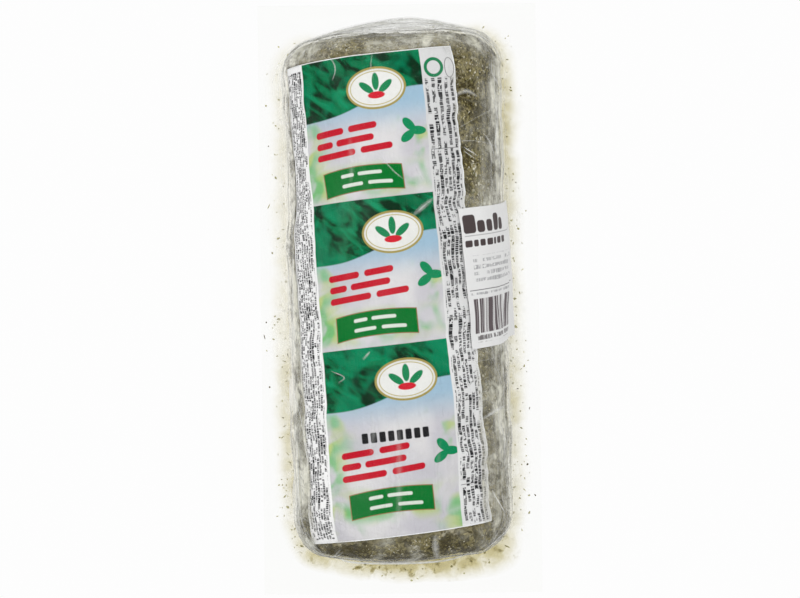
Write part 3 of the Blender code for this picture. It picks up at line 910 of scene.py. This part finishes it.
def film_milk_and_sheen(point, grip, covered):
    """How milky the film is, partly its own cloudiness and partly painted sheen of the lamps: little
    where it is drawn tight, most where it is gathered off the log.
    """
    x, y = point.x / MM, point.y / MM
    milk_and_sheen = 0.22
    left = 0.38 * smooth_step(18, 38, -x) + 0.26 * smooth_step(34, 40, -x)
    milk_and_sheen += left * smooth_step(-98, -70, y) * (1 - 0.75 * smooth_step(78, 90, y))
    milk_and_sheen += 0.16 * smooth_step(33, 39, x)
    milk_and_sheen += 0.24 * smooth_step(20, 30, x) * smooth_step(36, 20, y)
    milk_and_sheen += 0.18 * smooth_step(84, 97, y) + 0.34 * (1 - grip) * smooth_step(90, 100, y)
    tight = smooth_step(37, 27, abs(x - 5)) * smooth_step(32, 48, y) * smooth_step(97, 82, y)
    tight *= smooth_step(10, 16, x)
    milk_and_sheen *= 1 - 0.97 * tight
    milk_and_sheen += 0.40 * smooth_step(27, 38.5, x) * smooth_step(10, 30, y) * smooth_step(90, 78, y)
    near = smooth_step(-74, -82, y) * smooth_step(-101, -96, y) * smooth_step(42, 32, abs(x))
    milk_and_sheen *= 1 - 0.6 * near
    patch = smooth_step(0.02, 0.38, noise.noise(point / (8.5 * MM) + UP * 3))
    milk_and_sheen += patch * mix(0.09 * tight, 0.34, near)
    milk_and_sheen += mix(0.34, 0.18, x > 0) * smooth_step(31, 40, abs(x)) * smooth_step(-86, -93, y)
    milk_and_sheen *= 1 - 0.9 * bell(y, 88.5, 5) * min(bell(x, -22, 10) + bell(x, 21, 6), 1)
    milk_and_sheen *= 1 - 0.3 * smooth_step(26, 34, x) * smooth_step(-56, -70, y)
    return mix(milk_and_sheen, 0.004, covered)


def side_haze(point, at_far):
    """How much of the film's milk and painted sheen is left down its sides: it thins out towards the
    border.
    """
    level = point.z / MM + 3 * (1 - at_far) * noise.noise(point / (9 * MM))
    held = smooth_step(mix(19, 21, at_far), mix(26, 27, at_far), level)
    return held * mix(0.45, 1, max(at_far, smooth_step(25, 41, level)))


def film_slack(point, covered):
    """How loose the film is: gathered at the far end, folded along the sides, else tight."""
    x, y = point.x / MM, point.y / MM
    side = smooth_step(26, 39, abs(x))
    end = smooth_step(86, 98, y)
    near = smooth_step(-92, -99, y) * 0.8
    loose = min(max(side * 0.75, end, near), 1.0)
    return mix(0.06 + 0.9 * loose, 0.03, covered)


def film_loops(outline):
    """The film's loops from the crest out to the cut edge, and back under it to the belly."""
    parts = (
        (outline.upper_film, 0, 1, 88, lambda share: 1.0),
        (outline.upper_film, 1, 2, 24, lambda share: 2 - share),
        (outline.upper_film, 2, 3, 5, lambda share: 0.0),
        (outline.lower_film, 0, 1, 4, lambda share: 0.0),
        (outline.lower_film, 1, 2, 6, lambda share: share - 1),
        (outline.lower_film, 2, 3, 10, lambda share: 1.0),
    )
    loops = []
    for film, start, end, rings, grip in parts:
        for ring in range(1 if start and film == outline.upper_film else 0, rings + 1):
            share = mix(start, end, ring / rings)
            loops.append((grip(share), [film(i, share) for i in range(outline.count)]))
    return loops


def make_film():
    outline = Outline(200)
    mesh, bm = loops_mesh("clear_film", film_loops(outline), outline.count)
    grip = bm.verts.layers.float["grip"]
    down = bm.verts.layers.float["run_down"]
    milk_and_sheen, slack, ends = (bm.verts.layers.float.new(name) for name in FILM_LAYERS)
    add_lumps(bm)
    smooth_tree = BVHTree.FromBMesh(bm)
    bm.normal_update()
    for vert in bm.verts:
        at_far = far_end(vert.co.y)
        on_body = smooth_step(mix(31, 21, at_far) * MM, mix(35, 27, at_far) * MM, vert.co.z)
        covered = film_cover(vert.co, vert[down])
        loose = film_slack(vert.co, covered) * on_body
        vert[slack] = loose
        vert[ends] = max(at_far, near_end(vert.co.y))
        share = max(side_haze(vert.co, at_far), 0.45 * vert[grip] * (1 - on_body))
        vert[milk_and_sheen] = film_milk_and_sheen(vert.co, vert[grip], covered) * share
        vert.co += vert.normal * wrinkle(vert.co, vert[ends], loose)
    tree = BVHTree.FromBMesh(bm)
    runs_down = [sum(vert[down] for vert in face.verts) / len(face.verts) for face in bm.faces]
    film = finished(bm, mesh, film_material())
    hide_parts("vacuum_pack")
    make_folds(tree, runs_down, outline)
    return smooth_tree, tree


def make_crust():
    outline = Outline(120)
    rings = 130
    loops = []
    for ring in range(rings + 1):
        angle = mix(math.pi / 2, -math.pi / 2, ring / rings)
        loops.append((1.0, [place(on_log(point, angle)) for point in outline.log]))
    mesh, bm = loops_mesh("cheese_log", loops, outline.count)
    add_lumps(bm)
    bm.normal_update()
    for vert in bm.verts:
        relief = noise.noise(vert.co / (4.8 * MM)) * 0.4 + noise.noise(vert.co / (2.1 * MM)) * 0.3
        vert.co += vert.normal * (relief - 1.35) * MM
    bm.normal_update()
    down = bm.verts.layers.float["run_down"]
    surface = [(v.co.copy(), v.normal.copy(), label_cover(v.co, v[down], 5 * MM)) for v in bm.verts]
    finished(bm, mesh, crust_material())
    return surface


def flakes_mesh(name, centres, normals, sizes, material):
    """One mesh of thin, bent, pointed flakes, each lying at its centre across its normal."""
    count = len(centres)
    turns = rng.uniform(0, 2 * math.pi, count)
    helper = np.where(np.abs(normals[:, 2:3]) < 0.9, [[0.0, 0.0, 1.0]], [[1.0, 0.0, 0.0]])
    side = np.cross(normals, helper)
    side /= np.linalg.norm(side, axis=1, keepdims=True)
    other = np.cross(normals, side)
    cos, sin = np.cos(turns)[:, None], np.sin(turns)[:, None]
    long_axis = side * cos + other * sin
    wide_axis = np.cross(normals, long_axis)
    long_axis = long_axis + normals * rng.normal(0, 0.14, (count, 1))
    ring = ((0.5, 0.0), (0.2, 0.42), (-0.22, 0.5), (-0.5, 0.05), (-0.2, -0.45), (0.24, -0.4))
    verts = np.zeros((count, 8, 3))
    jitter = rng.normal(0, 0.09, (count, 6, 2))
    for k, (a, b) in enumerate(ring):
        along = (a + jitter[:, k, :1]) * sizes[:, :1]
        across = (b + jitter[:, k, 1:]) * sizes[:, 1:2]
        curl = sizes[:, :1] * 0.16 * (abs(a) * 2) ** 2 * rng.uniform(-1, 1, (count, 1))
        verts[:, k] = centres + long_axis * along + wide_axis * across + normals * curl
    verts[:, 6] = centres + normals * sizes[:, 2:3] / 2
    verts[:, 7] = centres - normals * sizes[:, 2:3] / 2
    faces = [(k, (k + 1) % 6, 6) for k in range(6)] + [((k + 1) % 6, k, 7) for k in range(6)]
    faces = (np.array(faces)[None] + 8 * np.arange(count)[:, None, None]).reshape(-1, 3)
    mesh = new_mesh(name, verts.reshape(-1, 3).tolist(), faces.tolist())
    give(mesh, "tint", np.repeat(rng.uniform(0, 1, count), 8))
    mesh.shade_flat()
    shown(mesh, material, PACK_SLOT)


def flake_sizes(count, long_size, wide_size, thickness, spread, longest):
    sizes = np.empty((count, 3))
    sizes[:, 0] = rng.lognormal(0, spread, count) * long_size
    sizes[:, 1] = rng.lognormal(0, spread, count) * wide_size
    sizes[:, 2] = thickness
    return np.minimum(sizes, longest)


def make_flakes(surface):
    points = np.array([tuple(co) for co, _, _ in surface])
    normals = np.array([tuple(normal) for _, normal, _ in surface])
    hidden = np.array([cover for _, _, cover in surface])
    weight = np.where(points[:, 2] > 28 * MM, 1.0, 0.35)
    weight = np.where((hidden > 0.02) & (points[:, 2] > 30 * MM), 0.0, weight)
    patch = [noise.noise(co / (8 * MM)) + 0.6 * noise.noise(co / (3.2 * MM)) for co, _, _ in surface]
    patch = np.array(patch)
    kinds = (
        ("dark_herbs", 14000, -3.0, (1.6, 1.1), (0.022, 0.016, 0.002), (0.110, 0.088, 0.024)),
        ("olive_herbs", 13500, 1.0, (1.4, 0.9), (0.09, 0.074, 0.019), (0.33, 0.285, 0.125)),
        ("straw_herbs", 5000, 1.5, (0.9, 0.4), (0.30, 0.25, 0.10), (0.60, 0.53, 0.31)),
        ("cheese_crumbs", 3600, 3.5, (0.8, 0.6), (0.42, 0.39, 0.28), (0.72, 0.69, 0.57)),
    )
    for name, count, pale, (long_size, wide_size), low, high in kinds:
        chance = weight * np.exp(pale * patch)
        chosen = rng.choice(len(points), count, p=chance / chance.sum())
        out = normals[chosen]
        shift = rng.normal(0, 0.4 * MM, (count, 3))
        shift -= out * np.sum(shift * out, axis=1, keepdims=True)
        centres = points[chosen] + shift + out * rng.uniform(0.05, 0.5, (count, 1)) * MM
        sizes = flake_sizes(count, long_size * MM, wide_size * MM, FLAKE_THICKNESS, 0.35, 3.6 * MM)
        flakes_mesh(name, centres, out, sizes, flake_material(name, low, high))


def whey_end(y):
    """1 at the near end, where most of the whey has gathered, 0 along the sides."""
    return smooth_step(NEAR_LENGTH * 0.95, NEAR_LENGTH * 1.02, -y)


def whey_reach(outline, i):
    """How far the whey has crept out from under the log into the border."""
    point = outline.log[i]
    reach = mix(7.4 * MM, 2.4 * MM, far_end(point.y) * bell(point.x, 0, 26 * MM))
    reach = mix(reach, 5.6 * MM, smooth_step(-72 * MM, -84 * MM, point.y))
    reach = mix(reach, 9.4 * MM + 0.06 * point.x, whey_end(point.y))
    flat = Vector((point.x, point.y, 0))
    blotch = noise.noise(flat / (13 * MM)) + 0.5 * noise.noise(flat / (5 * MM) + UP)
    return reach + mix(1.3, 0.9, whey_end(point.y)) * MM * blotch


def whey_strength(point):
    """How yellow the whey is: most beside the far right and the near left of the log."""
    x, y = point.x / MM, point.y / MM
    if x > 0:
        side = 0.34 + 0.6 * bell(y, 68, 24) + 0.3 * bell(y, -38, 14)
    else:
        side = 0.28 + 0.35 * bell(y, -48, 34)
    end = 0.8 + 0.3 * smooth_step(-30, 20, x) - 0.4 * smooth_step(20, 36, x) + 0.55 * bell(x, 0, 24)
    return mix(side, end, whey_end(point.y))


def make_whey():
    outline = Outline(120)
    rings = 14

    def whey_point(i, share, side):
        tip = outline.beside(i, whey_reach(outline, i) + WHEY_OVERLAP)
        point = mix(outline.beside(i, -WHEY_OVERLAP), tip, share)
        point.z = border_height(point, 0.0) - 0.6 * MM * share
        point.z += side * mix(1.0, 0.12, share) * MM / 2
        return point

    shares = [ring / rings for ring in range(rings + 1)]
    way = [(share, 1) for share in shares] + [(share, -1) for share in reversed(shares)] + [(0.0, 1)]
    loops = [(0.0, [whey_point(i, *at) for i in range(outline.count)]) for at in way]
    mesh, bm = loops_mesh("whey", loops, outline.count)
    deep = bm.verts.layers.float.new("deep")
    near = bm.verts.layers.float.new("near")
    finder = KDTree(outline.count)
    for i in range(outline.count):
        finder.insert(place(outline.log[i]), i)
    finder.balance()
    for vert in bm.verts:
        flat = Vector((vert.co.x, vert.co.y, 0))
        _, i, distance = finder.find(flat)
        gone = (distance - 1 * MM) / (whey_reach(outline, i) + 2 * MM)
        at_side = (1 - smooth_step(0.0, 1.0, gone)) ** 1.6
        at_near = 1 - smooth_step(0.2, 1.05, gone)
        faded = mix(at_side, at_near, whey_end(outline.log[i].y))
        vert[deep] = whey_strength(outline.log[i]) * faded
        vert[near] = whey_end(outline.log[i].y)
    finished(bm, mesh, whey_material())


def make_loose_herbs():
    outline = Outline(120)
    kinds = (
        ("loose_herbs", 420, 0.75, 2.5, (0.30, 0.28, 0.11), (0.66, 0.63, 0.36)),
        ("loose_dark_herbs", 36, 0.65, 4.5, (0.05, 0.04, 0.02), (0.20, 0.16, 0.05)),
    )
    for name, count, size, beyond, low, high in kinds:
        centres = []
        for i, share in zip(rng.integers(0, outline.count, count), rng.beta(1.2, 2.0, count)):
            out = mix(-1 * MM, whey_reach(outline, int(i)) + beyond * MM, share)
            point = outline.beside(i, out)
            centres.append((point.x, point.y, border_height(point, 0.0) - 0.3 * MM))
        normals = np.tile([[0.0, 0.0, 1.0]], (count, 1))
        sizes = flake_sizes(count, size * MM, size * 0.65 * MM, LOOSE_THICKNESS, 0.5, 2.6 * MM)
        flakes_mesh(name, np.array(centres), normals, sizes, flake_material(name, low, high))


class Wrap:
    """Finds points on a surface by their run round the log from its crest, and their run along it."""

    def __init__(self, tree):
        self.tree = tree
        self.angles = np.radians(np.arange(-125, 126))
        hits = np.array([self.ray(angle, 0) for angle in self.angles])
        steps = np.linalg.norm(np.diff(hits, axis=0), axis=1)
        runs = np.concatenate([[0.0], np.cumsum(steps)])
        self.runs = runs - runs[125]

    def ray(self, angle, along):
        start = place(Vector((0, along, WIDEST_HEIGHT)))
        way = Matrix.Rotation(LOG_TURN, 3, "Z") @ Vector((math.sin(angle), 0, math.cos(angle)))
        return tuple(self.tree.ray_cast(start, way)[0])

    def point(self, run, along):
        return self.ray(float(np.interp(run, self.runs, self.angles)), along)


def askew(flat, size):
    """A flat point of the label as it lies: stretched and slanted towards its near end."""
    near = 0.5 - flat.y / size[1]
    across = flat.x * (1 + 0.045 * near) + 0.75 * MM
    return Vector((across, flat.y + flat.x * mix(0.010, 0.032, near)))


def wrapped_sheet(name, wrap, size, centre, turn, lift, edge_wave, moved, material, slot):
    """A paper sheet that follows a surface, with its print's map, and edges that waver a little."""
    columns, rows = (round(side / MM) + 1 for side in size)
    flat_turn = Matrix.Rotation(turn, 2)
    grid = np.zeros((rows, columns, 3))
    for j in range(rows):
        for i in range(columns):
            across, along = i / (columns - 1) - 0.5, j / (rows - 1) - 0.5
            flat = Vector((across * size[0], along * size[1]))
            near_edge = abs(across) * 2
            wave = noise.noise(Vector((flat.y / (11 * MM), math.copysign(3.0, flat.x), 0)))
            wave += 0.5 * noise.noise(Vector((flat.y / (4 * MM), math.copysign(7.0, flat.x), 0)))
            flat.x += edge_wave * wave * near_edge**3
            flat = moved(flat, size) if moved else flat
            flat.rotate(flat_turn)
            grid[j, i] = wrap.point(flat.x + centre[0], flat.y + centre[1])
    normals = np.cross(np.gradient(grid, axis=1), np.gradient(grid, axis=0))
    normals /= np.linalg.norm(normals, axis=2, keepdims=True)
    heights = (lift - PAPER_THICKNESS, lift)
    verts = np.concatenate([(grid + normals * height).reshape(-1, 3) for height in heights])
    index = np.arange(rows * columns).reshape(rows, columns)
    corners = (index[:-1, :-1], index[:-1, 1:], index[1:, 1:], index[1:, :-1])
    cells = np.stack(corners, axis=2).reshape(-1, 4)
    rim = np.concatenate([index[0, :-1], index[:-1, -1], index[-1, :0:-1], index[:0:-1, 0]])
    after = np.roll(rim, -1)
    top = rows * columns
    sides = np.stack([rim, after, after + top, rim + top], axis=1)
    faces = np.concatenate([cells + top, np.roll(cells[:, ::-1], 1, axis=1), sides])
    mesh = new_mesh(name, verts.tolist(), faces.tolist())
    up, across = np.mgrid[0 : 1 : rows * 1j, 0 : 1 : columns * 1j]
    uv = np.tile(np.stack([across.ravel(), up.ravel()], axis=1), (2, 1))
    corner_verts = np.zeros(len(mesh.loops), int)
    mesh.loops.foreach_get("vertex_index", corner_verts)
    mesh.uv_layers.new(name="print").data.foreach_set("uv", uv[corner_verts].ravel())
    mesh.shade_smooth()
    mesh.set_sharp_from_angle(angle=math.radians(40))
    return shown(mesh, material, slot)


def make_lamp(name, place_at, size, power):
    data = bpy.data.lights.new(name, "AREA")
    data.shape = "RECTANGLE"
    data.size, data.size_y = size
    data.energy = power
    lamp = in_scene(name, data)
    lamp.location = place_at
    lamp.rotation_euler = (-Vector(place_at)).to_track_quat("-Z", "Y").to_euler()
    lamp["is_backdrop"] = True


def make_stage():
    half, depth = 4, -0.5 * MM
    corners = [(-half, -half, depth), (half, -half, depth), (half, half, depth), (-half, half, depth)]
    mesh = new_mesh("table", corners, [(0, 1, 2, 3)])
    floor = in_scene("table", mesh)
    s = Shader("white_table")
    mesh.materials.append(s.done(s.add("Emission", (1, 1, 1), Strength=0.985)))
    floor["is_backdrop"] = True
    for lamp in LAMPS:
        make_lamp(*lamp)
    world = bpy.data.worlds.new("tent")
    bpy.context.scene.world = world
    world.use_nodes = True
    background = world.node_tree.nodes["Background"]
    background.inputs["Color"].default_value = (1, 1, 1, 1)
    background.inputs["Strength"].default_value = 0.40


def make_camera():
    data = bpy.data.cameras.new("camera")
    data.sensor_width = 36
    data.lens = CAMERA_LENS
    camera = in_scene("camera", data)
    camera.location = (0, 0, CAMERA_HEIGHT)
    camera.rotation_euler = (0, 0, CAMERA_TURN)
    bpy.context.scene.camera = camera
    bpy.context.scene.view_settings.view_transform = "Standard"


smooth_tree, film_tree = make_film()
make_flakes(make_crust())
make_whey()
make_loose_herbs()
as_laid = (LABEL_SIZE, LABEL_CENTRE, LABEL_TURN, -0.25 * MM, 1.1 * MM, askew)
label = wrapped_sheet("paper_label", Wrap(smooth_tree), *as_laid, label_material(), "green_label")
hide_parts("product_label")
as_laid = (PRICE_SIZE, PRICE_CENTRE, PRICE_TURN, 0.4 * MM, 0.0, None)
price = wrapped_sheet("price_sticker", Wrap(film_tree), *as_laid, price_material(), "white_paper")
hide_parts("price_label")
make_stage()
make_camera()

boxes = {"cad": cad_box, "scene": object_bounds()}
{name: [list(corner) for corner in box] for name, box in boxes.items()}
